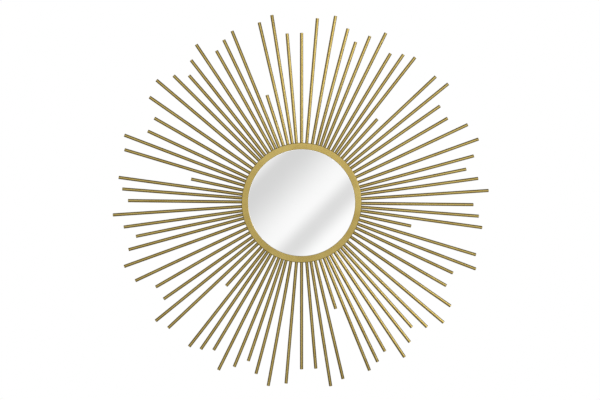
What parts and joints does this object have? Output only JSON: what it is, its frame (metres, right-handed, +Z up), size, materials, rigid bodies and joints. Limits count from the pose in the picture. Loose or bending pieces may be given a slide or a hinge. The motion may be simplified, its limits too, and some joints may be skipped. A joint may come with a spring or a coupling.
{
  "type": "sunburst wall mirror",
  "caption": "Round wall mirror in a flat gold ring, with straight gold tube rays of mixed lengths fanning out all round it and strap hangers with swinging D-rings on its back.",
  "frame": {"origin": "centre of the mirror, on the plane of the wall that it hangs against", "axes": "+Z up, +Y into the wall, so the mirror faces -Y, and +X to the right as seen from the front"},
  "size_m": [0.7998, 0.0196, 0.7922],
  "materials": {
    "gold_satin": "satin gold metallic paint on steel",
    "mirror_silver": "silvered flat glass with a narrow polished edge",
    "foam_white": "soft white foam sheet",
    "board_black": "black-faced fibreboard, matte",
    "zinc_bright": "bright zinc-plated steel",
    "rubber_clear": "grey translucent rubber"
  },
  "bodies": {
    "mirror": {"bezel": "gold_satin", "mirror_glass": "mirror_silver", "foam_pad": "foam_white", "back_panel": "board_black", "ray_panel_1": "gold_satin", "ray_panel_2": "gold_satin", "ray_panel_3": "gold_satin", "ray_panel_4": "gold_satin", "ray_panel_5": "gold_satin", "ray_panel_6": "gold_satin", "rail_screw_1": "zinc_bright", "rail_screw_2": "zinc_bright", "rail_screw_3": "zinc_bright", "rail_screw_4": "zinc_bright", "rail_screw_5": "zinc_bright", "rail_screw_6": "zinc_bright", "rail_screw_7": "zinc_bright", "rail_screw_8": "zinc_bright", "rail_screw_9": "zinc_bright", "rail_screw_10": "zinc_bright", "rail_screw_11": "zinc_bright", "rail_screw_12": "zinc_bright", "hanger_strap_left": "zinc_bright", "hanger_strap_right": "zinc_bright", "hanger_screw_left_upper": "zinc_bright", "hanger_screw_left_lower": "zinc_bright", "hanger_screw_right_upper": "zinc_bright", "hanger_screw_right_lower": "zinc_bright", "bumper_left": "rubber_clear", "bumper_right": "rubber_clear"},
    "left_ring": {"hanger_ring_left": "zinc_bright"},
    "right_ring": {"hanger_ring_right": "zinc_bright"}
  },
  "joints": [
    {"name": "left_ring_swing", "type": "hinge", "parent": "mirror", "child": "left_ring", "pos_m": [-0.05855, -0.00624, 0.04907], "axis": [-1, 0, 0], "range_deg": [0, 178]},
    {"name": "right_ring_swing", "type": "hinge", "parent": "mirror", "child": "right_ring", "pos_m": [0.05855, -0.00624, 0.04907], "axis": [-1, 0, 0], "range_deg": [0, 178]}
  ]
}
